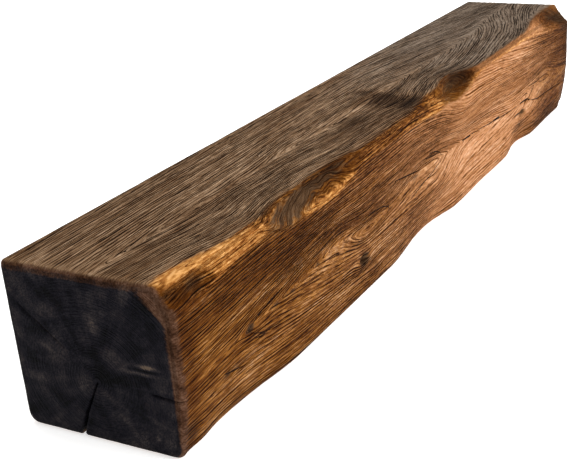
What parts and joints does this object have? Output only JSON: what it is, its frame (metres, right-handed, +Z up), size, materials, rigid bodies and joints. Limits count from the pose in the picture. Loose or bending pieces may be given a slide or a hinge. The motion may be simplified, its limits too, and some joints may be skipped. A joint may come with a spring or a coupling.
{
  "type": "mantel beam",
  "caption": "Squared oak mantel beam with a hewn, chamfered top front edge, a wavy lower front edge, stained sawn ends and open seasoning checks.",
  "frame": {"origin": "middle of the flat underside that the beam rests on", "axes": "+X along the beam from the checked near end to the far end, -Y out of the hewn front face, +Y into the wall, +Z up out of the top face"},
  "size_m": [1.0714, 0.1607, 0.15],
  "materials": {
    "oiled_oak": "satin"
  },
  "bodies": {
    "root": {"oak_beam": "oiled_oak"}
  },
  "joints": []
}
